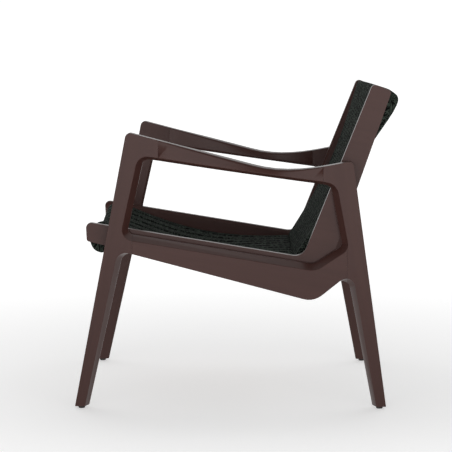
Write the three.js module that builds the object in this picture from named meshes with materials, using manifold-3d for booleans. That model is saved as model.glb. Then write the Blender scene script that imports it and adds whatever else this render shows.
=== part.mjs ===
// Low wooden armchair: two open side frames, two L-shaped side panels and a corded seat and back.
// Millimetres. The chair faces -X, its width is Y and +Z is up; it stands on z = 0.
import * as THREE from 'three';
import { mergeVertices } from 'three/addons/utils/BufferGeometryUtils.js';
import Module from 'manifold-3d';

const wasm = await Module();
wasm.setup();

// ---- Driving dimensions ------------------------------------------------------------------
const gap = 0.3;                     // clearance kept between touching pieces

const frameWidth = 620;              // across the outer faces of the side frames
const frameThickness = 32;
const footSpread = 682;              // front edge of the front feet to rear edge of the rear feet
const frontLegLean = 0.1917;         // run per unit of height of the front leg's front edge
const frontLegInnerLean = 0.2257;    // the same for its rear edge, so the leg tapers downwards
const frontFootWidth = 29.4;
const rearLegLean = 0.1407;
const rearLegInnerLean = 0.1932;
const rearFootWidth = 28.5;

const armFrontHeight = 606;          // top of the arm at the front corner
const armRearHeight = 544;           // top of the arm at the rear corner
const armDipHeight = 516;            // pulls the arm's top down to its low point near the rear
const armSlope = 0.264;              // fall of the arm's straight top
const armDipStart = 269;             // length of the straight top from the front corner
const armUndersideFront = 547;       // underside of the arm at the front leg
const armUndersideRear = 489;        // underside of the arm at the rear leg
const armBulgeOut = 16;              // the arm swells outwards by this in plan
const armBulgeIn = 12;
const armCrown = 2.5;
const armSideLean = 4;
const armBevel = 7;                  // height of the bevel under the arm, outer side
const legHeadLength = 69;            // front leg's head, from the front corner to the arm joint
const rearHeadLength = 64;

const railTopFront = 384;            // top of the side rail where it meets the front leg
const railTopRear = 317;             // top of the rail at its low point
const railBottomFront = 346;
const railBottomRear = 237;
const railLowTop = 159;              // low point of the rail's top, ahead of the rear feet
const railLowBottom = 160;
const railRiseTop = 0.656;           // the rail climbs again to the rear leg
const railRiseBottom = 0.8;
const railStep = 5;                  // the rear leg starts this far above the rail's rear corner

const bevelWidth = 12.5;             // bevel round the frame's opening, across the outer face
const bevelDepth = 21;               // the same bevel, into the thickness
const legBevelTop = 11;              // bevel on the legs below the rail
const legBevelFoot = 7.5;
const innerBevel = 5;                // small bevel round the openings on the inner face
const cornerRadius = 11;
const rearTopRadius = 18;             // the opening's corner under the arm's rear end
const openingRadius = 12;

const panelThickness = 23;
const panelChamfer = 6;              // along the edges that face the seat, the back and the front
const panelFront = 25;               // front end of the panel, behind the front feet
const panelFrontTop = 408;
const panelFrontBottom = 366;
const panelCornerIn = 183;           // inner corner of the L, ahead of the rear feet
const panelCornerHeight = 331;
const panelHeelIn = 149;             // outer corner of the L, ahead of the rear feet
const panelHeelHeight = 242;
const panelTopFront = 33;            // top front corner, ahead of the rear feet
const panelTopRear = 8;              // top rear corner, behind the rear feet
const panelTopFrontHeight = 709;
const panelTopRearHeight = 693;

const sideGap = 0.6;                 // upholstery to side panel
const padThickness = 15;
const boardThickness = 8;
const boardGap = 0.6;                // pad to board
const noseRadius = 27;               // roll along the front of the seat, taller than it is deep
const noseTall = 35;
const noseBack = 57;                 // its centre, behind the front feet
const noseHeight = 371;
const seatLow = 313;                 // pulls the seat down to its low point
const seatSag = 20;                  // the seat is this much lower along its middle
const creaseIn = 202;                // crease of seat and back, ahead of the rear feet
const creaseHeight = 324;
const rollBehind = 18;               // roll at the back's top, behind the panels' top corner
const rollDrop = 22;
const outerBackInset = 1.5;
const outerBackThickness = 5;

const frontRailWidth = 26;
const frontRailHeight = 10;
const topRailWidth = 15;
const topRailHeight = 44;
const heelRailWidth = 18;
const heelRailHeight = 30;

const tenonThickness = 10;
const tenonLength = 44;
const boltRadius = 3;
const boltHeadRadius = 6.5;
const boltHeadHeight = 5;
const boltReach = 14;                // into the frame
const boltSocket = 3;
const insertRadius = 5;
const insertLength = 15;
const dowelRadius = 3;
const dowelInPanel = 12;
const dowelInRail = 22;
const glideRadius = 7.5;
const glideHeight = 6;
const glideStem = 14;
const glideStemRadius = 2;

const roundSteps = 16;               // facets of turned pieces and holes
const arcSteps = 5;                  // facets of a rounded corner
const curveSteps = 14;               // facets of a long curve

// ---- Colours and finishes ----------------------------------------------------------------
const finishes = {
  wood: { color: 0x523e39, roughness: 0.42, metalness: 0 },
  plywood: { color: 0x8a6a4c, roughness: 0.7, metalness: 0 },
  hardwood: { color: 0x9a7b58, roughness: 0.7, metalness: 0 },
  textile: { color: 0x26302a, roughness: 0.95, metalness: 0 },
  steel: { color: 0x8f9296, roughness: 0.35, metalness: 1 },
  glide: { color: 0x2a2422, roughness: 0.6, metalness: 0 },
};

// ---- Plane geometry: points are Vector2(x, z) ---------------------------------------------
const point = (x, z) => new THREE.Vector2(x, z);
const mix = (a, b, t) => a.clone().lerp(b, t);

function meet(a, b, c, d) {
  const r = b.clone().sub(a);
  const s = d.clone().sub(c);
  const t = c.clone().sub(a).cross(s) / r.cross(s);
  return a.clone().addScaledVector(r, t);
}

// The line a-b moved sideways by one distance at a and another at b, positive to its left.
function shifted(a, b, atA, atB) {
  const n = b.clone().sub(a).normalize();
  const left = point(-n.y, n.x);
  return [a.clone().addScaledVector(left, atA), b.clone().addScaledVector(left, atB)];
}

// A polygon with its corners rounded: each corner is { at, r }.
function rounded(corners) {
  const out = [];
  corners.forEach((corner, i) => {
    const before = corners.at(i - 1).at;
    const after = corners[(i + 1) % corners.length].at;
    const u = before.clone().sub(corner.at).normalize();
    const v = after.clone().sub(corner.at).normalize();
    if (!corner.r) {
      out.push(corner.at.clone());
      return;
    }
    const half = Math.acos(THREE.MathUtils.clamp(u.dot(v), -1, 1)) / 2;
    const reach = corner.r / Math.tan(half);
    const centre = u.clone().add(v).normalize().multiplyScalar(corner.r / Math.sin(half)).add(corner.at);
    const start = corner.at.clone().addScaledVector(u, reach).sub(centre);
    const end = corner.at.clone().addScaledVector(v, reach).sub(centre);
    const sweep = Math.atan2(start.cross(end), start.dot(end));
    for (let k = 0; k <= arcSteps; k += 1) {
      const turned = start.clone().rotateAround(point(0, 0), (sweep * k) / arcSteps);
      out.push(turned.add(centre));
    }
  });
  return out;
}

const curve = (p0, p1, p2, p3, steps = curveSteps) =>
  new THREE.CubicBezierCurve(p0, p1, p2, p3).getPoints(steps);

// A polyline moved sideways by a constant distance, positive to its left.
function offset(points, distance) {
  return points.map((p, i) => {
    const before = points[Math.max(i - 1, 0)];
    const after = points[Math.min(i + 1, points.length - 1)];
    const along = after.clone().sub(before).normalize();
    return p.clone().add(point(-along.y, along.x).multiplyScalar(distance));
  });
}

// ---- Solids ------------------------------------------------------------------------------
function solid(geometry) {
  const bare = geometry.clone();
  bare.deleteAttribute('normal');
  bare.deleteAttribute('uv');
  const merged = mergeVertices(bare, 1e-4);
  const made = new wasm.Manifold(new wasm.Mesh({
    numProp: 3,
    vertProperties: new Float32Array(merged.attributes.position.array),
    triVerts: new Uint32Array(merged.index.array),
  }));
  return made;
}

// An outline in the side view, extruded across the chair from yLow to yHigh.
function prism(outline, yLow, yHigh) {
  const ring = THREE.ShapeUtils.isClockWise(outline) ? outline.slice().reverse() : outline;
  const geometry = new THREE.ExtrudeGeometry(new THREE.Shape(ring), {
    depth: yHigh - yLow,
    bevelEnabled: false,
    curveSegments: 1,
  });
  geometry.rotateX(Math.PI / 2);
  geometry.translate(0, yHigh, 0);
  return solid(geometry);
}

// A skin through rings of equal length (arrays of Vector3), closed by a flat cap at each end.
function loft(rings, flatten) {
  const count = rings[0].length;
  const positions = rings.flat().flatMap((p) => [p.x, p.y, p.z]);
  const index = [];
  for (let r = 0; r < rings.length - 1; r += 1) {
    for (let i = 0; i < count; i += 1) {
      const j = (i + 1) % count;
      const a = r * count;
      const b = a + count;
      index.push(a + i, a + j, b + i, a + j, b + j, b + i);
    }
  }
  const last = (rings.length - 1) * count;
  const flat = rings[0].map(flatten);
  for (const [a, b, c] of THREE.ShapeUtils.triangulateShape(flat, [])) index.push(c, b, a);
  for (const [a, b, c] of THREE.ShapeUtils.triangulateShape(rings.at(-1).map(flatten), [])) {
    index.push(last + a, last + b, last + c);
  }
  const geometry = new THREE.BufferGeometry();
  geometry.setAttribute('position', new THREE.Float32BufferAttribute(positions, 3));
  geometry.setIndex(index);
  return solid(geometry);
}

// Outlines in the side view at several depths, joined into one solid. The outlines run
// anticlockwise seen from -Y, and the depths climb along +Y.
function sideLoft(outlines, depths, drop = () => 0) {
  const rings = outlines.map((outline, i) => {
    const ring = outline.map((p) => new THREE.Vector3(p.x, depths[i], p.y - drop(p.x, depths[i])));
    return ring.reverse();
  });
  return loft(rings, (p) => point(-p.x, p.z));
}

// A turned piece: its profile is [radius, height] pairs from axis to axis.
function turned(profile) {
  return new THREE.LatheGeometry(profile.map(([r, h]) => point(r, h)), roundSteps);
}

// Pins and holes across the chair: the profile climbs along +Y from yLow, about (x, z).
const crossPin = (profile, place, yLow) => solid(turned(profile).translate(place.x, yLow, place.y));
const rodProfile = (radius, length) => [[0, 0], [radius, 0], [radius, length], [0, length]];
const crossHole = (radius, place, yLow, yHigh) => crossPin(rodProfile(radius, yHigh - yLow), place, yLow);

// A flat tenon with rounded long edges, lying along X about its centre.
function tenon(centre, height, extra = 0) {
  const thick = tenonThickness + 2 * extra;
  const tall = height + 2 * extra;
  const shape = new THREE.Shape();
  const straight = (tall - thick) / 2;
  shape.absarc(0, straight, thick / 2, 0, Math.PI, false);
  shape.absarc(0, -straight, thick / 2, Math.PI, 2 * Math.PI, false);
  const length = tenonLength + 2 * extra;
  const geometry = new THREE.ExtrudeGeometry(shape, { depth: length, bevelEnabled: false, curveSegments: 4 });
  geometry.translate(0, 0, -length / 2);
  geometry.rotateX(Math.PI / 2);
  geometry.rotateZ(Math.PI / 2);
  geometry.translate(centre.x, 0, centre.y);
  return solid(geometry);
}

// ---- Lines of the side frame ---------------------------------------------------------------
const frontX = -footSpread / 2;
const rearX = footSpread / 2;
const fromFront = (run, height) => point(frontX + run, height);
const fromRear = (run, height) => point(rearX - run, height);

const frontOuter = (z) => point(frontX + z * frontLegLean, z);
const frontInner = (z) => point(frontX + frontFootWidth + z * frontLegInnerLean, z);
const rearOuter = (z) => point(rearX - z * rearLegLean, z);
const rearInner = (z) => point(rearX - rearFootWidth - z * rearLegInnerLean, z);

const armFront = frontOuter(armFrontHeight);
const armRear = rearOuter(armRearHeight);
const armBreak = armFront.clone().add(point(armDipStart, -armDipStart * armSlope));
const armTopCurve = curve(
  armBreak,
  armBreak.clone().add(point(48, -48 * armSlope)),
  point(armRear.x - 124, armDipHeight),
  armRear,
);
const armUndersideStart = frontInner(armUndersideFront);
const armUndersideEnd = rearInner(armUndersideRear);
const armJointFront = armFront.x + legHeadLength;
const armJointRear = armRear.x - rearHeadLength;

const panelCorner = fromRear(panelCornerIn, panelCornerHeight);
const panelHeel = fromRear(panelHeelIn, panelHeelHeight);
const panelNoseTop = fromFront(panelFront, panelFrontTop);
const panelNoseBottom = fromFront(panelFront + 2, panelFrontBottom);
const panelTopA = fromRear(panelTopFront, panelTopFrontHeight);
const panelTopB = fromRear(-panelTopRear, panelTopRearHeight);
const armPassesPanel = meet(panelCorner, panelTopA, armUndersideStart, armUndersideEnd).x - 4;
const armInnerEnd = Math.min(armPassesPanel, armJointRear);

const railTopStart = frontInner(railTopFront);
const railTopLow = fromRear(railLowTop, railTopRear);
const railTopEnd = meet(railTopLow, railTopLow.clone().add(point(1, railRiseTop)), rearInner(0), rearInner(1));
const railBottomStart = frontInner(railBottomFront);
const railBottomLow = fromRear(railLowBottom, railBottomRear);
const railBottomEnd = meet(
  railBottomLow,
  railBottomLow.clone().add(point(1, railRiseBottom)),
  rearInner(0),
  rearInner(1),
);
const railJointFront = frontInner((railTopFront + railBottomFront) / 2).x + 16;
const railJointRear = rearInner((railTopEnd.y + railBottomEnd.y) / 2).x + 4;

// Height of the arm's top at x, from the straight part and then the dipping curve.
function armTopAt(x) {
  if (x <= armBreak.x) return armFrontHeight - (x - armFront.x) * armSlope;
  const i = armTopCurve.findIndex((p) => p.x >= x);
  const a = armTopCurve[i - 1];
  const b = armTopCurve[i];
  return THREE.MathUtils.mapLinear(x, a.x, b.x, a.y, b.y);
}
const armUndersideAt = (x) =>
  THREE.MathUtils.mapLinear(x, armUndersideStart.x, armUndersideEnd.x, armUndersideStart.y, armUndersideEnd.y);

// The space between arm, legs and rail, grown by one bevel below the arm and another elsewhere.
function openingOutline(grow, growArm) {
  const loop = [armUndersideStart, armUndersideEnd, railTopEnd, railTopLow, railTopStart].reverse();
  const widths = [grow, grow, grow, growArm, grow];
  const radii = [openingRadius, openingRadius + 18, openingRadius, rearTopRadius, openingRadius];
  const sides = loop.map((p, i) => shifted(p, loop[(i + 1) % loop.length], -widths[i], -widths[i]));
  return rounded(loop.map((p, i) => {
    const before = sides.at(i - 1);
    const here = sides[i];
    return { at: meet(before[0], before[1], here[0], here[1]), r: radii[i] + grow };
  }));
}

// The space below the rail, open at the floor, grown by a bevel along the legs.
function belowOutline(growTop, growFoot) {
  const floor = -glideHeight;
  const front = shifted(railBottomStart, frontInner(floor), -growTop, -growFoot);
  const rear = shifted(rearInner(floor), railBottomEnd, -growFoot, -growTop);
  const ends = [front[1], rear[0]];
  const frontCorner = meet(front[0], front[1], railBottomStart, railBottomLow);
  const rearCorner = meet(rear[0], rear[1], railBottomLow, railBottomEnd);
  return rounded([
    { at: ends[0] },
    { at: ends[1] },
    { at: rearCorner, r: 19 },
    { at: railBottomLow, r: 45 },
    { at: frontCorner, r: 22 },
  ]);
}

const frameHalf = frameThickness / 2;
const bevelDepths = [-frameHalf, -frameHalf + bevelDepth, frameHalf - innerBevel, frameHalf];

function frameBlank() {
  const floor = glideHeight;
  const outline = rounded([
    { at: frontOuter(floor) },
    { at: rearOuter(floor) },
    { at: armRear, r: cornerRadius },
    ...armTopCurve.slice(1, -1).reverse().map((at) => ({ at })),
    { at: armBreak },
    { at: armFront, r: cornerRadius },
  ]);
  const opening = sideLoft([
    openingOutline(bevelWidth, armBevel),
    openingOutline(0, 0),
    openingOutline(0, 0),
    openingOutline(innerBevel, innerBevel),
  ], bevelDepths);
  const below = sideLoft([
    belowOutline(legBevelTop, legBevelFoot),
    belowOutline(0, 0),
    belowOutline(0, 0),
    belowOutline(innerBevel, innerBevel),
  ], bevelDepths);
  return prism(outline, -frameHalf, frameHalf).subtract(opening).subtract(below);
}

// ---- Side frame members, about the frame's own middle plane ---------------------------------
const far = 2000;
const split = (armUndersideRear + railTopFront) / 2;
const region = (xLow, xHigh, zLow, zHigh) => prism(
  [point(xLow, zLow), point(xHigh, zLow), point(xHigh, zHigh), point(xLow, zHigh)],
  -far,
  far,
);

const railMidFront = (railTopFront + railBottomFront) / 2 - 9;
const joints = {
  front_arm: { at: point(armJointFront, (armTopAt(armJointFront) + armUndersideAt(armJointFront)) / 2), height: 20 },
  rear_arm: { at: point(armJointRear, (armTopAt(armJointRear) + armUndersideAt(armJointRear)) / 2), height: 22 },
  front_rail: { at: point(railJointFront, railMidFront), height: 16 },
  rear_rail: { at: point(railJointRear, (railTopEnd.y + railBottomEnd.y) / 2 - 5), height: 26 },
};
const mortises = () => Object.values(joints).map((joint) => tenon(joint.at, joint.height, gap));
const without = (body, cutters) => cutters.reduce((left, cutter) => left.subtract(cutter), body);

// The armrest swells in plan from the joint at each end, with bevels under both sides. On the
// inner side the swelling has to end where the side panel's back part passes the arm.
const swellOver = (x, start, end) => {
  const u = THREE.MathUtils.mapLinear(x, start, end, -1, 1);
  return Math.max(0, 1 - u * u);
};

function armSection(x) {
  const swell = swellOver(x, armJointFront, armJointRear);
  const out = frameHalf + armBulgeOut * swell;
  const into = frameHalf + armBulgeIn * swellOver(x, armJointFront, armInnerEnd);
  const top = armTopAt(x);
  const low = armUndersideAt(x);
  const lean = armSideLean * swell;
  const edge = 1.5 + 2 * swell;
  const section = [
    [-out + bevelDepth, low],
    [into - innerBevel, low],
    [into, low + innerBevel],
    [into - lean, top - edge],
    [into - lean - edge, top],
    [0, top + armCrown * swell],
    [-out + lean + edge, top],
    [-out + lean, top - edge],
    [-out, low + armBevel],
  ];
  return section.map(([y, z]) => new THREE.Vector3(x, y, z));
}

function armrest() {
  const start = armJointFront + gap / 2;
  const end = armJointRear - gap / 2;
  const innerEnd = Math.min(armInnerEnd, end);
  const stations = innerEnd < end ? [end] : [];
  for (let i = curveSteps; i >= 0; i -= 1) {
    stations.unshift(THREE.MathUtils.lerp(start, innerEnd, i / curveSteps));
  }
  return loft(stations.map(armSection), (p) => point(p.y, p.z));
}

// ---- Side panels ----------------------------------------------------------------------------
// The panel's outline, with its front and upper sides moved in by one chamfer.
function panelOutline(chamfer) {
  const corners = [
    { at: panelNoseBottom, r: 6, cut: 0 },
    { at: panelHeel, r: 20, cut: 0 },
    { at: panelTopB, r: 8, cut: chamfer },
    { at: panelTopA, r: 10, cut: chamfer },
    { at: panelCorner, r: 27 + chamfer, cut: chamfer },
    { at: panelNoseTop, r: 11, cut: chamfer },
  ];
  const sides = corners.map((corner, i) => {
    const next = corners[(i + 1) % corners.length].at;
    return shifted(corner.at, next, corner.cut, corner.cut);
  });
  return rounded(corners.map((corner, i) => {
    const before = sides.at(i - 1);
    return { at: meet(before[0], before[1], sides[i][0], sides[i][1]), r: corner.r };
  }));
}

const panelOuterY = frameWidth / 2 - frameThickness - gap;
const panelInnerY = panelOuterY - panelThickness;
const padHalf = panelInnerY - sideGap;
const railHalf = panelInnerY - gap;

// ---- Seat and back ------------------------------------------------------------------------------
const nose = fromFront(noseBack, noseHeight);
const crease = fromRear(creaseIn, creaseHeight);
const around = (centre, radius, from, to, steps) => {
  const out = [];
  for (let k = 0; k <= steps; k += 1) {
    const angle = THREE.MathUtils.degToRad(THREE.MathUtils.lerp(from, to, k / steps));
    out.push(point(Math.cos(angle), Math.sin(angle)).multiplyScalar(radius).add(centre));
  }
  return out;
};

const noseRoll = (from, to, steps) =>
  around(point(0, 0), noseRadius, from, to, steps).map((p) => point(p.x, (p.y * noseTall) / noseRadius).add(nose));
const noseStart = noseRoll(75, 75, 1)[0];
const seatTop = curve(noseStart, fromFront(188, 355), fromRear(401, seatLow), crease);
const backStart = crease.clone().add(point(0.4, 0.7));
const backTop = panelTopA.clone().add(point(1, -2));
const backFront = curve(backStart, fromRear(116, 460), fromRear(80, 530), backTop);

// The seat hangs lower along the chair's middle, from the front roll almost to the crease.
function sag(x, y) {
  const along = (crease.x - x) / (crease.x - nose.x);
  return seatSag * THREE.MathUtils.smoothstep(along, 0.1, 0.65) * (1 - (y / padHalf) ** 2) ** 2;
}

// A piece of one outline across the chair, with or without the seat's sag.
function across(outline, half, drop) {
  const stations = drop ? curveSteps : 1;
  const depths = Array.from({ length: stations + 1 }, (_, i) => half * ((2 * i) / stations - 1));
  const ring = THREE.ShapeUtils.isClockWise(outline) ? outline.slice().reverse() : outline;
  return sideLoft(depths.map(() => ring), depths, drop);
}

// Front rail inside the roll, top rail inside the back's roll, heel rail at the low corner.
const bar = (centre, run, height, tilt, r) => rounded(
  [point(-1, -1), point(1, -1), point(1, 1), point(-1, 1)].map((p) => {
    const corner = p.multiply(point(run / 2, height / 2));
    return { at: corner.rotateAround(point(0, 0), tilt).add(centre), r };
  }),
);
const backTilt = -Math.atan2(panelTopB.x - panelHeel.x, panelTopB.y - panelHeel.y);
const frontRailAt = nose.clone().add(point(8, 1));
const topRailAt = panelTopB.clone().add(point(-20.5, -30));
const heelRailAt = panelHeel.clone().add(point(-6, 32));
const topRail = bar(topRailAt, topRailWidth, topRailHeight, backTilt, 3);
const creaseBase = mix(panelNoseBottom, panelHeel, 0.83).add(point(0, 4));
const creaseHeel = mix(panelNoseBottom, panelHeel, 0.945).add(point(0, 7));
const underBoard = offset(seatTop, -padThickness - boardGap - boardThickness - gap);
const creaseRail = [
  creaseBase,
  creaseHeel,
  point(creaseHeel.x, crease.y - 18),
  point(crease.x + 4, crease.y - 4.5),
  point(crease.x + 4, underBoard.at(-1).y - gap),
  point(creaseBase.x, underBoard.at(-3).y - 1),
];

// The seat pad runs from under the front rail, over the roll and back to the crease.
function seatPad() {
  const pocket = bar(frontRailAt, frontRailWidth + 2 * gap, frontRailHeight + 2 * gap, 0, 0);
  const under = offset(seatTop, -padThickness).filter((p) => p.x > pocket[1].x + 1);
  return [
    ...seatTop,
    ...under.reverse(),
    pocket[2],
    pocket[3],
    pocket[0],
    pocket[1],
    ...noseRoll(290, 80, 12),
  ];
}

function boardUnder(skin, keep) {
  const front = offset(skin, -padThickness - boardGap).filter(keep);
  const behind = offset(skin, -padThickness - boardGap - boardThickness).filter(keep);
  return [...front, ...behind.reverse()];
}

// The back pad covers the front, the top and the roll behind, round the top rail.
const roll = panelTopB.clone().add(point(rollBehind - 13, 3 - rollDrop));
const rollLow = roll.clone().add(point(8, -15));
const rearSkin = shifted(panelHeel, panelTopB, outerBackInset, outerBackInset);
const rollJoin = meet(rearSkin[0], rearSkin[1], rollLow, rollLow.clone().add(point(-0.65, -1)));

function backPad() {
  const under = offset(backFront, -padThickness).filter((p) => p.y < topRailAt.y - 30);
  const pocket = bar(topRailAt, topRailWidth + 2 * gap, topRailHeight + 2 * gap, backTilt, 0);
  return [
    ...backFront,
    panelTopB.clone().add(point(-2, 3)),
    ...around(roll, 13.5, 72, -30, 6),
    ...curve(rollLow, rollLow.clone().add(point(-10, -22)), mix(rollLow, rollJoin, 0.6), rollJoin, 6).slice(1),
    rollJoin.clone().add(point(-5, 2)),
    rollJoin.clone().add(point(18, 50)),
    pocket[1],
    pocket[2],
    pocket[3],
    pocket[0],
    ...under.reverse(),
  ];
}

// The outer back goes down from the roll, round the heel and a little way forward.
function outerBack() {
  const lower = shifted(panelNoseBottom, panelHeel, outerBackInset, outerBackInset);
  const heel = meet(lower[0], lower[1], rearSkin[0], rearSkin[1]);
  const start = mix(lower[0], lower[1], 0.957);
  const inward = (p, q) => shifted(p, q, outerBackThickness, outerBackThickness);
  const low = inward(start, heel);
  const high = inward(heel, rollJoin);
  const inside = meet(low[0], low[1], high[0], high[1]);
  const top = rollJoin.clone().add(point(-0.5, -1.2));
  return rounded([
    { at: start },
    { at: heel, r: 19 },
    { at: top },
    { at: top.clone().add(point(-outerBackThickness, 0)) },
    { at: inside, r: 14 },
    { at: low[0] },
  ]);
}

// ---- Pieces across the chair ----------------------------------------------------------------------
const nodes = [];
const add = (name, body, finish) => nodes.push({ name, body, finish });

const dowelPlaces = {
  front: { rail: 'front_seat_rail', at: frontRailAt },
  crease_fore: { rail: 'crease_rail', at: point(creaseBase.x + 14, creaseBase.y + 13) },
  crease_aft: { rail: 'crease_rail', at: point(creaseHeel.x - 10, creaseHeel.y + 26) },
  heel: { rail: 'heel_rail', at: heelRailAt },
  top: { rail: 'top_back_rail', at: topRailAt },
};
const dowelEnd = railHalf - dowelInRail;
const dowelHoles = (rail) => Object.values(dowelPlaces)
  .filter((dowel) => !rail || dowel.rail === rail)
  .map((dowel) => crossHole(
    dowelRadius + gap,
    dowel.at,
    -panelInnerY - dowelInPanel - 1,
    -dowelEnd + 1,
  ));

function rail(name, outline, drop) {
  const holes = dowelHoles(name);
  const both = [...holes, ...holes.map((hole) => hole.mirror([0, 1, 0]))];
  add(name, without(across(outline, railHalf, drop), both), 'hardwood');
}
rail('front_seat_rail', bar(frontRailAt, frontRailWidth, frontRailHeight, 0, 2), sag);
rail('crease_rail', creaseRail);
rail('heel_rail', bar(heelRailAt, heelRailWidth, heelRailHeight, backTilt, 3));
rail('top_back_rail', topRail);

const boardStart = frontRailAt.x + frontRailWidth / 2 + gap;
const boardTop = topRailAt.y - topRailHeight / 2 - 3;
add('seat_board', across(boardUnder(seatTop, (p) => p.x > boardStart), padHalf, sag), 'plywood');
add('back_board', across(boardUnder(backFront, (p) => p.y < boardTop), padHalf), 'plywood');
add('seat_pad', across(seatPad(), padHalf, sag), 'textile');
add('back_pad', across(backPad(), padHalf), 'textile');
add('outer_back', across(outerBack(), padHalf), 'textile');

// ---- Pieces that come in a left and a right ---------------------------------------------------------
const boltPlaces = {
  front: mix(frontOuter(370), frontInner(370), 0.48),
  middle: mix(railTopLow, railBottomLow, 0.6).add(point(-122, 16)),
  rear: mix(railTopLow, railBottomLow, 0.15).add(point(5, 1)),
  upper: mix(rearInner(446), rearOuter(446), 0.42),
};
const frameInnerY = frameWidth / 2 - frameThickness;
const headY = -panelInnerY - 1 - boltHeadHeight;
const tipY = -frameInnerY - boltReach;

const boltShank = headY - tipY;
const boltProfile = [
  [0, 0],
  [boltRadius, 0],
  [boltRadius, boltShank],
  [boltHeadRadius, boltShank],
  [boltHeadRadius, boltShank + boltHeadHeight],
  [boltSocket, boltShank + boltHeadHeight],
  [boltSocket, boltShank + 2],
  [0, boltShank + 2],
];
const insertProfile = [
  [boltRadius + gap, 0],
  [insertRadius, 0],
  [insertRadius, insertLength],
  [boltRadius + gap, insertLength],
  [boltRadius + gap, 0],
];
const glideProfile = [
  [0, 0],
  [glideRadius - 1, 0],
  [glideRadius, 1.5],
  [glideRadius, glideHeight - gap],
  [glideStemRadius, glideHeight - gap],
  [glideStemRadius, glideHeight + glideStem],
  [0, glideHeight + glideStem],
];
const upright = (profile, place) => solid(turned(profile).rotateX(Math.PI / 2).translate(place.x, 0, place.y));

const glidePlaces = {
  front: mix(frontOuter(0), frontInner(0), 0.5),
  rear: mix(rearOuter(0), rearInner(0), 0.5),
};
const stemHoles = Object.values(glidePlaces).map((place) =>
  upright(rodProfile(glideStemRadius + gap, glideHeight + glideStem + 1), place));

const holes = (radius, yLow, yHigh) =>
  Object.values(boltPlaces).map((place) => crossHole(radius, place, yLow, yHigh));
const insertHoles = holes(insertRadius + gap, -frameInnerY - insertLength - 1, -frameInnerY + 1);
const boltHoles = holes(boltRadius + gap, -frameInnerY - 1, headY + 1);
const headHoles = holes(boltHeadRadius + gap, headY - gap, -panelInnerY + 1);

const frameMiddleY = frameWidth / 2 - frameHalf;
const mortiseCuts = mortises();
const blank = without(frameBlank(), [...mortiseCuts, ...stemHoles]).translate([0, -frameMiddleY, 0]);
const drilled = without(blank, insertHoles);
const half = gap / 2;
const railTopJoint = railTopEnd.y + railStep;
const frontZone = region(-far, armJointFront - half, split, far)
  .add(region(-far, railJointFront - half, -far, split));
const rearZone = region(armJointRear + half, far, split, far)
  .add(region(0, far, railTopJoint + half, split))
  .add(region(railJointRear + half, far, -far, railTopJoint + 1));
const railZone = region(railJointFront + half, 0, -far, split)
  .add(region(0, railJointRear - half, -far, railTopJoint - half));
const panel = without(
  sideLoft(
    [panelOutline(0), panelOutline(0), panelOutline(panelChamfer)],
    [-panelOuterY, -panelInnerY - panelChamfer, -panelInnerY],
  ),
  [...boltHoles, ...headHoles, ...dowelHoles()],
);

for (const side of ['left', 'right']) {
  const put = (name, body, finish) => {
    add(`${side}_${name}`, side === 'left' ? body : body.mirror([0, 1, 0]), finish);
  };
  const intoFrame = (body) => body.translate([0, -frameMiddleY, 0]);
  put('front_leg', drilled.intersect(frontZone), 'wood');
  put('rear_leg', drilled.intersect(rearZone), 'wood');
  put('side_rail', drilled.intersect(railZone), 'wood');
  put('armrest', intoFrame(without(armrest(), mortiseCuts)), 'wood');
  put('side_panel', panel, 'wood');
  for (const [name, joint] of Object.entries(joints)) {
    put(`${name}_tenon`, intoFrame(tenon(joint.at, joint.height)), 'hardwood');
  }
  for (const [name, place] of Object.entries(glidePlaces)) {
    put(`${name}_glide`, intoFrame(upright(glideProfile, place)), 'glide');
  }
  for (const [name, place] of Object.entries(boltPlaces)) {
    put(`${name}_bolt`, crossPin(boltProfile, place, tipY), 'steel');
    put(`${name}_insert`, crossPin(insertProfile, place, -frameInnerY - insertLength), 'steel');
  }
  for (const [name, dowel] of Object.entries(dowelPlaces)) {
    const length = panelInnerY + dowelInPanel - dowelEnd;
    put(`${name}_dowel`, crossPin(rodProfile(dowelRadius, length), dowel.at, -panelInnerY - dowelInPanel), 'hardwood');
  }
}

// ---- Meshes ------------------------------------------------------------------------------------
const chair = new THREE.Group();
for (const { name, body, finish } of nodes) {
  const mesh = body.getMesh();
  const geometry = new THREE.BufferGeometry();
  geometry.setAttribute('position', new THREE.Float32BufferAttribute(mesh.vertProperties, 3));
  geometry.setIndex(new THREE.Uint32BufferAttribute(mesh.triVerts, 1));
  const flat = geometry.toNonIndexed();
  flat.computeVertexNormals();
  const part = new THREE.Mesh(flat, new THREE.MeshStandardMaterial(finishes[finish]));
  part.name = name;
  chair.add(part);
}
const box = new THREE.Box3().setFromObject(chair);
chair.position.x = -(box.min.x + box.max.x) / 2;
chair.updateMatrixWorld(true);

export default chair;
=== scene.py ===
# %% [markdown]
# # A low wooden armchair, dressed for the camera
# The chair is already built to size: two splayed side frames, two L-shaped side panels and a seat
# and back hung between them. Here each piece gets the finish it has on the real chair: softened
# and lacquered wood, a corded textile over foam, bare plywood and plated steel.
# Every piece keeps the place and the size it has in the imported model.

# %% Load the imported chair
from math import atan2, hypot, pi, radians

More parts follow.
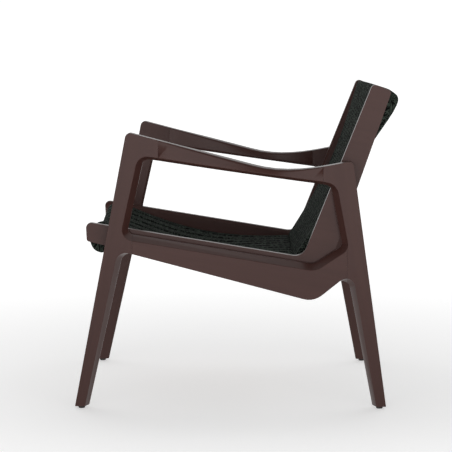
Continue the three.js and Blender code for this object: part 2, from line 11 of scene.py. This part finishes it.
import bmesh
import bpy
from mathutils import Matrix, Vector


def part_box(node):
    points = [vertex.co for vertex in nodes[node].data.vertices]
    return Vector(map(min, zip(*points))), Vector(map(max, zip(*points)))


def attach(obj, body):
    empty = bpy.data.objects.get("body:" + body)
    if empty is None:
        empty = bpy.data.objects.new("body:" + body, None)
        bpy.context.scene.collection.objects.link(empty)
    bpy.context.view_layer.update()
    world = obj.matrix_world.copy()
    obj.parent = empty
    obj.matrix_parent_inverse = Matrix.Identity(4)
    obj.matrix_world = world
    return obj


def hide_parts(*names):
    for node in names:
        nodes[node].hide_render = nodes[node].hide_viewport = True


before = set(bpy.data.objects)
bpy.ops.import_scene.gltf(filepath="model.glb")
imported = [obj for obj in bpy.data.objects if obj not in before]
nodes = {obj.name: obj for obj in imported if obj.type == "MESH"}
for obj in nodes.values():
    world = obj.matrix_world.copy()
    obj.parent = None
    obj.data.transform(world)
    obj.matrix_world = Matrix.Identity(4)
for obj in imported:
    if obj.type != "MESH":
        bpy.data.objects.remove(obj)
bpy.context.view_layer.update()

print("pieces in the packed chair:", len(nodes))

# %% [markdown]
# ## Camera
# The camera comes first, because it decides which faces matter most. A long lens from four
# metres away keeps the two side frames almost the same size, so both outlines stay readable.
# The camera is just above the chair and looks down a little, so the scooped seat stays visible.

# %% Camera
camera_data = bpy.data.cameras.new("chair_camera")
camera_data.lens = 140.37
camera_data.sensor_width = 36
camera = bpy.data.objects.new("chair_camera", camera_data)
camera.location = (0.0126, -4.1003, 0.7937)
camera.rotation_euler = (radians(90 - 5.89), 0, radians(0.542))
bpy.context.scene.collection.objects.link(camera)
bpy.context.scene.camera = camera
print("lens", camera_data.lens, "mm")

# %% [markdown]
# ## Small helpers for materials
# Each material is a node tree. These helpers place a node, join sockets by name, do sums and
# start a group or a material, so that the recipes below stay short enough to read.


# %% Material helpers
def put(tree, kind, **values):
    node = tree.nodes.new(kind)
    for name, value in values.items():
        if hasattr(node, name):
            setattr(node, name, value)
        else:
            node.inputs[name.replace("_", " ")].default_value = value
    return node


def join(tree, source, output, target, name):
    tree.links.new(source.outputs[output], target.inputs[name])


def sums(tree, operation, first, second=None, third=None):
    node = tree.nodes.new("ShaderNodeMath")
    node.operation = operation
    for i, value in enumerate((first, second, third)):
        if value is None:
            continue
        if isinstance(value, (int, float)):
            node.inputs[i].default_value = value
        else:
            tree.links.new(value, node.inputs[i])
    return node.outputs[0]


def new_group(name, takes, gives):
    group = bpy.data.node_groups.new(name, "ShaderNodeTree")
    for label, kind, value in takes:
        socket = group.interface.new_socket(label, in_out="INPUT", socket_type=kind)
        if value is not None:
            socket.default_value = value
    for label, kind in gives:
        group.interface.new_socket(label, in_out="OUTPUT", socket_type=kind)
    return group, group.nodes.new("NodeGroupInput"), group.nodes.new("NodeGroupOutput")


def new_material(name, shown):
    made = bpy.data.materials.new(name)
    made.use_nodes = True
    made.diffuse_color = (*shown, 1)
    return made, made.node_tree, made.node_tree.nodes["Principled BSDF"]


# %% [markdown]
# ## Wood grain
# Grain is long fibres with short pores in them. Noise stretched along the fibres gives the broad
# figure, and a much finer, even more stretched noise gives the pores. Both are read from an
# attribute called "grain" that holds distances along and across each piece's own fibres, so the
# figure turns with the leg, the rail or the arm and doesn't slide over the joints.


# %% Wood grain group
grain_group, takes, gives = new_group(
    "wood_grain",
    [
        ("Along and across", "NodeSocketVector", None),
        ("Figure length", "NodeSocketFloat", 3.0),
        ("Figure width", "NodeSocketFloat", 45.0),
        ("Pore width", "NodeSocketFloat", 900.0),
    ],
    [("Figure", "NodeSocketFloat"), ("Pores", "NodeSocketFloat"), ("Height", "NodeSocketFloat")],
)
split = put(grain_group, "ShaderNodeSeparateXYZ")
join(grain_group, takes, "Along and across", split, "Vector")


def stretched(length, width, detail):
    both = put(grain_group, "ShaderNodeCombineXYZ")
    along = sums(grain_group, "MULTIPLY", split.outputs["X"], length)
    grain_group.links.new(along, both.inputs["X"])
    for axis in "YZ":
        across = sums(grain_group, "MULTIPLY", split.outputs[axis], width)
        grain_group.links.new(across, both.inputs[axis])
    noise = put(grain_group, "ShaderNodeTexNoise", Scale=1.0, Detail=detail, Roughness=0.55)
    join(grain_group, both, "Vector", noise, "Vector")
    return noise.outputs["Fac"]


figure = stretched(takes.outputs["Figure length"], takes.outputs["Figure width"], 4.0)
pore_length = sums(grain_group, "MULTIPLY", takes.outputs["Figure length"], 14.0)
pores = stretched(pore_length, takes.outputs["Pore width"], 2.0)
grain_group.links.new(figure, gives.inputs["Figure"])
grain_group.links.new(pores, gives.inputs["Pores"])
low_relief = sums(grain_group, "MULTIPLY", figure, 0.35)
grain_group.links.new(sums(grain_group, "MULTIPLY_ADD", pores, 0.65, low_relief), gives.inputs["Height"])
print("group:", grain_group.name)

# %% [markdown]
# ## Stained wood, bare wood and plywood
# The show wood is stained dark red-brown and sealed with a satin lacquer, so its grain is only
# just seen. The hidden rails, pegs and tenons are bare. All of them share the grain group with their
# own colours, and differ in how much the figure shows and how they reflect.


# %% Wood materials
def wood(name, dark, light, contrast, roughness, relief, loose=False):
    made, tree, shader = new_material(name, light)
    grain = put(tree, "ShaderNodeGroup", node_tree=grain_group)
    if loose:
        place = put(tree, "ShaderNodeTexCoord")
        join(tree, place, "Object", grain, "Along and across")
    else:
        place = put(tree, "ShaderNodeAttribute", attribute_name="grain")
        join(tree, place, "Vector", grain, "Along and across")
    ramp = put(tree, "ShaderNodeMapRange", From_Min=0.5 - contrast, From_Max=0.5 + contrast)
    join(tree, grain, "Figure", ramp, "Value")
    mix = put(tree, "ShaderNodeMix", data_type="RGBA")
    mix.inputs["A"].default_value = (*dark, 1)
    mix.inputs["B"].default_value = (*light, 1)
    join(tree, ramp, "Result", mix, "Factor")
    tree.links.new(mix.outputs["Result"], shader.inputs["Base Color"])
    rough = sums(tree, "MULTIPLY_ADD", grain.outputs["Pores"], 0.12, roughness - 0.06)
    tree.links.new(rough, shader.inputs["Roughness"])
    bump = put(tree, "ShaderNodeBump", Strength=relief, Distance=0.0004)
    join(tree, grain, "Height", bump, "Height")
    join(tree, bump, "Normal", shader, "Normal")
    return made


stained = wood("stained_wood", (0.044, 0.0180, 0.0150), (0.060, 0.0255, 0.0210), 0.35, 0.32, 0.10)
stained.node_tree.nodes["Principled BSDF"].inputs["Specular IOR Level"].default_value = 0.22
bare = wood("bare_hardwood", (0.13, 0.07, 0.04), (0.2, 0.12, 0.07), 0.3, 0.65, 0.25)
pegs = wood("peg_hardwood", (0.22, 0.13, 0.07), (0.32, 0.2, 0.12), 0.3, 0.65, 0.25, loose=True)
ply = wood("sealed_plywood", (0.10, 0.058, 0.035), (0.15, 0.09, 0.055), 0.3, 0.6, 0.2)
print("woods:", stained.name, bare.name, ply.name)

# %% [markdown]
# ## Corded textile
# The cover is a dark-green cloth with a cord woven in every few millimetres. The cords run with
# the seat and up the back. The "cord" attribute holds the distance across the chair and the
# distance along the cloth, so the cords keep running over the front roll without stretching.
# A wave gives the cords, a second one the picks that bind them, and noise the uneven yarn.


# %% Textile group and material
cord_group, takes, gives = new_group(
    "corded_weave",
    [
        ("Across and along", "NodeSocketVector", None),
        ("Cord pitch", "NodeSocketFloat", 0.0046),
        ("Pick pitch", "NodeSocketFloat", 0.0030),
    ],
    [("Cord", "NodeSocketFloat"), ("Yarn", "NodeSocketFloat"), ("Height", "NodeSocketFloat")],
)
split = put(cord_group, "ShaderNodeSeparateXYZ")
join(cord_group, takes, "Across and along", split, "Vector")
turn = sums(cord_group, "DIVIDE", split.outputs["X"], takes.outputs["Cord pitch"])
cord_wave = sums(cord_group, "PINGPONG", sums(cord_group, "ADD", turn, 400.0), 0.5)
cord_wave = sums(cord_group, "SINE", sums(cord_group, "MULTIPLY", cord_wave, pi))
step = sums(cord_group, "FLOOR", sums(cord_group, "ADD", turn, 400.5))
shift = sums(cord_group, "MULTIPLY", step, 0.5)
pick = sums(cord_group, "DIVIDE", split.outputs["Y"], takes.outputs["Pick pitch"])
pick = sums(cord_group, "PINGPONG", sums(cord_group, "ADD", pick, shift), 0.5)
pick = sums(cord_group, "MULTIPLY", pick, 2.0)
yarn = put(cord_group, "ShaderNodeTexNoise", Scale=290.0, Detail=2.0, Roughness=0.5)
join(cord_group, takes, "Across and along", yarn, "Vector")
cord_group.links.new(cord_wave, gives.inputs["Cord"])
cord_group.links.new(yarn.outputs["Fac"], gives.inputs["Yarn"])
height = sums(cord_group, "MULTIPLY_ADD", pick, 0.3, cord_wave)
height = sums(cord_group, "MULTIPLY_ADD", yarn.outputs["Fac"], 0.35, height)
cord_group.links.new(height, gives.inputs["Height"])

textile, tree, shader = new_material("corded_textile", (0.02, 0.027, 0.02))
place = put(tree, "ShaderNodeAttribute", attribute_name="cord")
weave = put(tree, "ShaderNodeGroup", node_tree=cord_group)
join(tree, place, "Vector", weave, "Across and along")
patches = put(tree, "ShaderNodeTexNoise", Scale=38.0, Detail=2.0, Roughness=0.5)
join(tree, place, "Vector", patches, "Vector")
tone = sums(tree, "MULTIPLY_ADD", weave.outputs["Yarn"], 6.0, -3.25)
tone = sums(tree, "MULTIPLY_ADD", weave.outputs["Cord"], 0.45, tone)
tone = sums(tree, "MULTIPLY_ADD", patches.outputs["Fac"], 0.5, tone)
mix = put(tree, "ShaderNodeMix", data_type="RGBA", clamp_factor=True)
mix.inputs["A"].default_value = (0.0012, 0.0016, 0.0013, 1)
mix.inputs["B"].default_value = (0.046, 0.060, 0.048, 1)
tree.links.new(tone, mix.inputs["Factor"])
tree.links.new(mix.outputs["Result"], shader.inputs["Base Color"])
shader.inputs["Roughness"].default_value = 0.9
shader.inputs["Specular IOR Level"].default_value = 0.1
bump = put(tree, "ShaderNodeBump", Strength=0.6, Distance=0.0007)
join(tree, weave, "Height", bump, "Height")
join(tree, bump, "Normal", shader, "Normal")
cord_pitch = weave.inputs["Cord pitch"].default_value
print("cords every", round(cord_pitch * 1000, 1), "mm")

# %% [markdown]
# ## Plated steel and floor glides
# The bolts are turned steel with a thin plating, so their colour is even and only the gloss
# wanders. The glides are moulded and rub on floors, so they are dull with a faint mottle.


# %% Steel and glide materials
def mottled(name, colour, metal, low_gloss, high_gloss, size):
    made, tree, shader = new_material(name, colour)
    place = put(tree, "ShaderNodeTexCoord")
    noise = put(tree, "ShaderNodeTexNoise", Scale=size, Detail=3.0, Roughness=0.6)
    join(tree, place, "Object", noise, "Vector")
    gloss = put(tree, "ShaderNodeMapRange", To_Min=low_gloss, To_Max=high_gloss)
    join(tree, noise, "Fac", gloss, "Value")
    join(tree, gloss, "Result", shader, "Roughness")
    shader.inputs["Base Color"].default_value = (*colour, 1)
    shader.inputs["Metallic"].default_value = metal
    return made


steel = mottled("plated_steel", (0.55, 0.55, 0.57), 1.0, 0.25, 0.5, 300.0)
glide_plastic = mottled("glide_plastic", (0.022, 0.017, 0.015), 0.0, 0.45, 0.75, 400.0)
print("small parts:", steel.name, glide_plastic.name)

# %% [markdown]
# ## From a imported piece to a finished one
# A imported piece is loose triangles. A copy is merged and its flat faces are joined, which leaves
# only the edges a maker would see, and those can be eased. The grain attribute is written at the
# same time, from the direction the fibres run in that piece.


# %% Merged copies
def merged_copy(name):
    mesh = nodes[name].data.copy()
    rough = bmesh.new()
    rough.from_mesh(mesh)
    bmesh.ops.remove_doubles(rough, verts=rough.verts, dist=2e-5)
    rough.to_mesh(mesh)
    rough.free()
    return mesh


def finished(name, mesh, material, slot, *replaced):
    piece = bpy.data.objects.new(name, mesh)
    bpy.context.scene.collection.objects.link(piece)
    mesh.materials.clear()
    mesh.materials.append(material)
    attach(piece, "root")
    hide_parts(*replaced)
    return piece


def write_grain(mesh, run, offset):
    along = Vector(run).normalized()
    side = Vector((0, 1, 0))
    across = along.cross(side)
    grain = mesh.attributes.new("grain", "FLOAT_VECTOR", "POINT")
    for i, vertex in enumerate(mesh.vertices):
        p = vertex.co
        grain.data[i].vector = (p.dot(along) + offset, p.dot(across) + offset, p.dot(side))


def applied(piece):
    graph = bpy.context.evaluated_depsgraph_get()
    mesh = bpy.data.meshes.new_from_object(
        piece.evaluated_get(graph), preserve_all_data_layers=True, depsgraph=graph
    )
    piece.modifiers.clear()
    piece.data = mesh
    return mesh


# %% [markdown]
# ## The show wood
# A router eases every outer edge of the legs, arms and rails by about a millimetre, but the
# faces where two members meet stay sharp: the joint is glued tight and sanded flush, and a soft
# edge there would open a groove. So each edge gets its own bevel weight, and edges that lie on a
# joint or belong to a hidden mortise or bolt hole get none. The side panels keep crisper edges.

# %% Which edges are eased
hidden_words = ("tenon", "bolt", "insert", "dowel", "glide")
hole_reach = 0.0009  # a hole's wall lies this close to the piece in it
joint_reach = 6e-4  # half the width of a glued joint, and a little more
ease_width = 0.0014
panel_share = 0.35  # of that width, for the side panels
corner_angle = radians(24)  # flatter edges belong to a curve
sharp_angle = radians(30)
hidden_boxes = [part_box(name) for name in nodes if any(word in name for word in hidden_words)]
joint_planes = [corner.x for corner in map(Vector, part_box("left_armrest"))]
joint_planes += [corner.x for corner in map(Vector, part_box("left_side_rail"))]


def in_hidden_box(p):
    for low, high in hidden_boxes:
        if all(low[i] - hole_reach < p[i] < high[i] + hole_reach for i in range(3)):
            return True
    return False


rail_points = [vertex.co for vertex in nodes["left_side_rail"].data.vertices]
rear_step = max(p.z for p in rail_points if p.x > joint_planes[3] - 0.004)


def on_joint(p, q):
    if any(abs(p.x - x) < joint_reach and abs(q.x - x) < joint_reach for x in joint_planes):
        return True
    level = abs(p.z - rear_step) < joint_reach and abs(q.z - rear_step) < joint_reach
    return level and p.x > 0.1


def ease_edges(mesh, jointed):
    work = bmesh.new()
    work.from_mesh(mesh)
    bmesh.ops.dissolve_limit(
        work, angle_limit=radians(0.5), verts=work.verts, edges=work.edges, use_dissolve_boundaries=False
    )
    weight = work.edges.layers.float.new("bevel_weight_edge")
    eased = 0
    for edge in work.edges:
        p, q = edge.verts[0].co, edge.verts[1].co
        if len(edge.link_faces) != 2 or edge.calc_face_angle(0.0) < corner_angle:
            continue
        if in_hidden_box(p) or in_hidden_box(q) or (jointed and on_joint(p, q)):
            continue
        edge[weight] = 1.0 if jointed else panel_share
        eased += 1
    work.to_mesh(mesh)
    work.free()
    return eased


# %% Legs, arms, rails and side panels
fibres = {
    "front_leg": (0.2, 0, 1),
    "rear_leg": (-0.16, 0, 1),
    "side_rail": (1, 0, -0.2),
    "armrest": (1, 0, -0.14),
    "side_panel": (1, 0, -0.2),
}
for side in ("left", "right"):
    for number, (part, run) in enumerate(fibres.items()):
        name = f"{side}_{part}"
        mesh = merged_copy(name)
        eased = ease_edges(mesh, part != "side_panel")
        write_grain(mesh, run, 0.37 * number + (1.3 if side == "right" else 0))
        piece = finished(f"{name}_wood", mesh, stained, "stained_wood", name)
        bevel = piece.modifiers.new("eased_edges", "BEVEL")
        bevel.limit_method = "WEIGHT"
        bevel.width = ease_width
        bevel.segments = 2
        bevel.use_clamp_overlap = True
        bevel.harden_normals = True
        mesh.shade_smooth()
        mesh.set_sharp_from_angle(angle=sharp_angle)
        print(name, "edges eased:", eased)

# %% [markdown]
# ## Upholstery: the foam under the cloth
# Seat and back are foam on moulded boards, wrapped in cloth and sewn into lengthwise channels.
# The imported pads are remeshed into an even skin, the skin is held along each sewn line, and the
# cloth solver blows it up a little between the lines, which is what foam does. How far a point
# may move is capped, so the pads keep the size that the frame leaves for them.

# %% Sizes of the upholstery
pad_low, pad_high = (Vector(corner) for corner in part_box("seat_pad"))
pad_half = pad_high.y
channels = 11
channel_pitch = 2 * pad_half / channels
channel_depth = 0.0055
channel_width = 0.011
nose_radius = 0.027
nose_centre = Vector((pad_low.x + nose_radius, 0, pad_high.z - 0.035))
back_low, back_high = (Vector(corner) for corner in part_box("back_pad"))
print("channel pitch:", round(channel_pitch * 1000, 1), "mm")


def to_seam(y):
    step = (y + pad_half) % channel_pitch
    return min(step, channel_pitch - step)


# %% Remeshed skins
def skin_of(name, voxel):
    piece = bpy.data.objects.new(f"{name}_skin", merged_copy(name))
    bpy.context.scene.collection.objects.link(piece)
    remesh = piece.modifiers.new("even_skin", "REMESH")
    remesh.mode = "VOXEL"
    remesh.voxel_size = voxel
    smooth = piece.modifiers.new("soft_skin", "SMOOTH")
    smooth.factor = 0.5
    smooth.iterations = 3
    applied(piece)
    print(piece.name, "points:", len(piece.data.vertices))
    return piece


# %% Foam pressing between the sewn lines
foam_rise = 0.003
foam_frames = 20


def press_out(piece, cap, pressure):
    rest = [vertex.co.copy() for vertex in piece.data.vertices]
    normals = [vertex.normal.copy() for vertex in piece.data.vertices]
    held = piece.vertex_groups.new(name="held")
    firm = [i for i, p in enumerate(rest) if to_seam(p.y) < 0.004 or abs(p.y) > pad_half - 0.006]
    held.add(firm, 1.0, "REPLACE")
    cloth = piece.modifiers.new("foam", "CLOTH")
    cloth.settings.use_pressure = True
    cloth.settings.uniform_pressure_force = pressure
    cloth.settings.vertex_group_mass = "held"
    cloth.settings.effector_weights.gravity = 0
    cloth.settings.tension_stiffness = 12
    cloth.settings.compression_stiffness = 12
    cloth.settings.quality = 4
    cloth.collision_settings.use_collision = False
    scene = bpy.context.scene
    cloth.point_cache.frame_start = 1
    cloth.point_cache.frame_end = foam_frames
    for number in range(1, foam_frames + 1):
        scene.frame_set(number)
    applied(piece)
    scene.frame_set(1)
    moved = 0
    for vertex, p, n in zip(piece.data.vertices, rest, normals):
        out = max(0.0, min((vertex.co - p).dot(n), cap))
        spot = p + n * out
        spot.y = max(-pad_half, min(pad_half, spot.y))
        moved = max(moved, out)
        vertex.co = spot
    print(piece.name, "pressed out by up to", round(moved * 1000, 1), "mm")


# %% [markdown]
# ## Upholstery: sewn channels
# A sewn line pulls the cloth down into the foam. That repeats across the chair by a simple rule,
# so Geometry Nodes make it: each point reads how far it is from the nearest line and sinks along
# its own normal. Pitch, depth and width are inputs, so another chair only needs other numbers.


# %% Channel tree
def channel_tree():
    tree = bpy.data.node_groups.new("sewn_channels", "GeometryNodeTree")
    face = tree.interface
    face.new_socket("Geometry", in_out="INPUT", socket_type="NodeSocketGeometry")
    for label, value in (("Pitch", 0.046), ("Depth", 0.003), ("Width", 0.01), ("Half width", 0.25)):
        face.new_socket(label, in_out="INPUT", socket_type="NodeSocketFloat").default_value = value
    face.new_socket("Cloth", in_out="INPUT", socket_type="NodeSocketMaterial")
    face.new_socket("Geometry", in_out="OUTPUT", socket_type="NodeSocketGeometry")
    start, end = tree.nodes.new("NodeGroupInput"), tree.nodes.new("NodeGroupOutput")
    place = tree.nodes.new("GeometryNodeInputPosition")
    split = tree.nodes.new("ShaderNodeSeparateXYZ")
    tree.links.new(place.outputs[0], split.inputs[0])
    across = sums(tree, "ADD", split.outputs["Y"], start.outputs["Half width"])
    near = sums(tree, "PINGPONG", across, sums(tree, "MULTIPLY", start.outputs["Pitch"], 0.5))
    fall = tree.nodes.new("ShaderNodeMapRange")
    fall.interpolation_type = "SMOOTHERSTEP"
    fall.inputs["To Min"].default_value = 1.0
    fall.inputs["To Max"].default_value = 0.0
    tree.links.new(near, fall.inputs["Value"])
    tree.links.new(start.outputs["Width"], fall.inputs["From Max"])
    sink = sums(tree, "MULTIPLY", fall.outputs["Result"], start.outputs["Depth"])
    sink = sums(tree, "MULTIPLY", sink, -1.0)
    normal = tree.nodes.new("GeometryNodeInputNormal")
    push = tree.nodes.new("ShaderNodeVectorMath")
    push.operation = "SCALE"
    tree.links.new(normal.outputs[0], push.inputs[0])
    tree.links.new(sink, push.inputs["Scale"])
    move = tree.nodes.new("GeometryNodeSetPosition")
    tree.links.new(start.outputs["Geometry"], move.inputs["Geometry"])
    tree.links.new(push.outputs["Vector"], move.inputs["Offset"])
    real = tree.nodes.new("GeometryNodeRealizeInstances")
    paint = tree.nodes.new("GeometryNodeSetMaterial")
    tree.links.new(move.outputs["Geometry"], real.inputs["Geometry"])
    tree.links.new(real.outputs["Geometry"], paint.inputs["Geometry"])
    tree.links.new(start.outputs["Cloth"], paint.inputs["Material"])
    tree.links.new(paint.outputs["Geometry"], end.inputs["Geometry"])
    return tree


sewing = channel_tree()


def set_inputs(modifier, **values):
    for item in modifier.node_group.interface.items_tree:
        if item.item_type == "SOCKET" and item.in_out == "INPUT":
            key = item.name.replace(" ", "_")
            if key in values:
                modifier[item.identifier] = values[key]


def sew(piece, depth, width):
    lines = piece.modifiers.new("sewn_channels", "NODES")
    lines.node_group = sewing
    set_inputs(lines, Pitch=channel_pitch, Depth=depth, Width=width, Half_width=pad_half, Cloth=textile)
    applied(piece)


# %% [markdown]
# ## Upholstery: how the cords lie
# The cloth is wrapped, so a cord's length is measured along the profile: straight on the seat,
# round the roll in front and round the roll on top of the back. Writing those two distances on
# every point gives the weave something to hold on to that doesn't stretch over the curves. A third
# number, a share of the distance from front to back, keeps the flat ends of a roll from striping.


# %% Cord distances
end_share = 0.8


def write_cord(mesh, along):
    cord = mesh.attributes.new("cord", "FLOAT_VECTOR", "POINT")
    for i, vertex in enumerate(mesh.vertices):
        p = vertex.co
        cord.data[i].vector = (p.y + pad_half, along(p), end_share * p.x)


def along_seat(p):
    if p.x > nose_centre.x and p.z > nose_centre.z - 0.02:
        return (p.x - nose_centre.x) * 1.03
    angle = atan2(p.x - nose_centre.x, p.z - nose_centre.z)
    return angle * nose_radius


roll_centre = Vector((back_high.x - 0.02, 0, back_high.z - 0.03))


def along_back(p):
    if p.z < roll_centre.z and p.x < roll_centre.x:
        return p.z * 1.06
    angle = atan2(p.x - roll_centre.x, p.z - roll_centre.z)
    return roll_centre.z * 1.06 + 0.03 * (angle + 1.2)


def along_outer(p):
    return p.z * 1.07


# %% [markdown]
# ## Upholstery: where seat and back meet
# At the crease the two pads press against each other, so no gap shows there. Points close to the
# crease are moved towards the other pad by a distance that fades out with theirs from it.

# %% Closing the crease
crease_line = Vector((max(v.co.x for v in nodes["seat_pad"].data.vertices), 0, back_low.z + 0.006))


crease_reach = 0.03


def close_crease(mesh, towards, by):
    for vertex in mesh.vertices:
        away = hypot(vertex.co.x - crease_line.x, vertex.co.z - crease_line.z)
        if away < crease_reach:
            vertex.co += Vector(towards) * by * (1 - away / crease_reach)


# %% Seat pad, back pad and outer back
def upholster(name, voxel, along, pressure=0.0, depth=0.0):
    skin = skin_of(name, voxel)
    if pressure:
        press_out(skin, foam_rise, pressure)
    if depth:
        finer = skin.modifiers.new("finer", "SUBSURF")
        finer.levels = finer.render_levels = 1
        applied(skin)
        sew(skin, depth, channel_width)
    mesh = skin.data.copy()
    bpy.data.objects.remove(skin)
    if name == "seat_pad":
        close_crease(mesh, (1, 0, 0.1), 0.007)
    if name == "back_pad":
        close_crease(mesh, (-0.6, 0, -0.8), 0.006)
    write_cord(mesh, along)
    mesh.shade_smooth()
    piece = finished(f"{name}_cloth", mesh, textile, "corded_textile", name)
    print(piece.name, "faces:", len(mesh.polygons))


foam_pressure = 9.0
upholster("seat_pad", 0.006, along_seat, foam_pressure, channel_depth)
upholster("back_pad", 0.006, along_back, foam_pressure, channel_depth)
upholster("outer_back", 0.004, along_outer)

# %% [markdown]
# ## Boards, rails and fastenings
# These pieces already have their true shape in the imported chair, so they only need a finish.
# Their grain has to come from a copy too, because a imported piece's own mesh is never changed.


# %% Hidden wood
hidden_wood = {
    "seat_board": (ply, "plywood", (1, 0, 0)),
    "back_board": (ply, "plywood", (0.37, 0, 1)),
    "front_seat_rail": (bare, "plain_hardwood", (0, 1, 0.001)),
    "crease_rail": (bare, "plain_hardwood", (0, 1, 0.001)),
    "heel_rail": (bare, "plain_hardwood", (0, 1, 0.001)),
    "top_back_rail": (bare, "plain_hardwood", (0, 1, 0.001)),
}


def write_cross_grain(mesh):
    grain = mesh.attributes.new("grain", "FLOAT_VECTOR", "POINT")
    for i, vertex in enumerate(mesh.vertices):
        p = vertex.co
        grain.data[i].vector = (p.y, p.x, p.z)


for name, (material, slot, run) in hidden_wood.items():
    mesh = merged_copy(name)
    if run[1]:
        write_cross_grain(mesh)
    else:
        write_grain(mesh, run, 0.2)
    piece = finished(f"{name}_bare", mesh, material, slot, name)
    bevel = piece.modifiers.new("eased_edges", "BEVEL")
    bevel.limit_method = "ANGLE"
    bevel.angle_limit = radians(40)
    bevel.width = 0.0006
    bevel.segments = 1
    mesh.shade_smooth()
    mesh.set_sharp_from_angle(angle=sharp_angle)
print("bare pieces:", len(hidden_wood))

# %% Fastenings and glides
for name, node in nodes.items():
    if not any(word in name for word in hidden_words):
        continue
    if "bolt" in name or "insert" in name:
        material = steel
    elif "glide" in name:
        material = glide_plastic
    else:
        material = pegs
    node.data.materials.clear()
    node.data.materials.append(material)
print("fastenings:", sum(1 for name in nodes if any(word in name for word in hidden_words)))

# %% [markdown]
# ## Floor and light
# The chair stands on a seamless pale floor that runs on into the background, so nothing competes
# with the dark wood, and its glow grows with distance, so no horizon shows. One broad, soft wash
# comes from low down on the camera's side, with a weak light overhead. The space behind the chair
# is white and the rest is dim, so bevels that face up get less light and grazing edges shine.

# %% Floor
floor_mesh = bpy.data.meshes.new("studio_floor")
reach = 30.0
floor_mesh.from_pydata(
    [(-reach, -reach, 0), (reach, -reach, 0), (reach, reach, 0), (-reach, reach, 0)],
    [],
    [(0, 1, 2, 3)],
)
floor = bpy.data.objects.new("studio_floor", floor_mesh)
bpy.context.scene.collection.objects.link(floor)
paper, tree, shader = new_material("studio_paper", (0.9, 0.9, 0.9))
shader.inputs["Base Color"].default_value = (0.6, 0.6, 0.6, 1)
shader.inputs["Roughness"].default_value = 0.9
shader.inputs["Specular IOR Level"].default_value = 0.1
shader.inputs["Emission Color"].default_value = (1, 1, 1, 1)
place = put(tree, "ShaderNodeTexCoord")
away = put(tree, "ShaderNodeVectorMath", operation="LENGTH")
join(tree, place, "Object", away, 0)
glow = put(tree, "ShaderNodeMapRange", From_Min=0.5, From_Max=2.6, To_Min=0.5, To_Max=0.86)
join(tree, away, "Value", glow, "Value")
join(tree, glow, "Result", shader, "Emission Strength")
floor_mesh.materials.append(paper)


# %% Lights
def soft_light(name, place, aim, size, power):
    lamp = bpy.data.lights.new(name, "AREA")
    lamp.shape = "RECTANGLE"
    lamp.size, lamp.size_y = size
    lamp.energy = power
    thing = bpy.data.objects.new(name, lamp)
    thing.location = place
    thing.rotation_euler = (Vector(aim) - Vector(place)).to_track_quat("-Z", "Y").to_euler()
    bpy.context.scene.collection.objects.link(thing)
    return thing


soft_light("front_wash", (0.2, -4.6, 1.0), (0, 0, 0.35), (7.0, 3.6), 150)
soft_light("overhead", (0, 0.9, 3.2), (0, 0, 0.3), (4.0, 3.0), 8)

world = bpy.data.worlds.new("studio")
bpy.context.scene.world = world
world.use_nodes = True
tree = world.node_tree
ground = tree.nodes["Background"]
facing = put(tree, "ShaderNodeTexCoord")
split = put(tree, "ShaderNodeSeparateXYZ")
join(tree, facing, "Generated", split, "Vector")
behind = put(tree, "ShaderNodeMapRange", From_Min=0.15, From_Max=0.6, To_Min=0.2, To_Max=1.05)
join(tree, split, "Y", behind, "Value")
seen = put(tree, "ShaderNodeLightPath")
strength = put(tree, "ShaderNodeMix", data_type="FLOAT")
join(tree, seen, "Is Camera Ray", strength, "Factor")
tree.links.new(behind.outputs["Result"], strength.inputs["A"])
strength.inputs["B"].default_value = 1.05
tree.links.new(strength.outputs["Result"], ground.inputs["Strength"])
ground.inputs["Color"].default_value = (1, 1, 1, 1)
bpy.context.scene.view_settings.view_transform = "Standard"
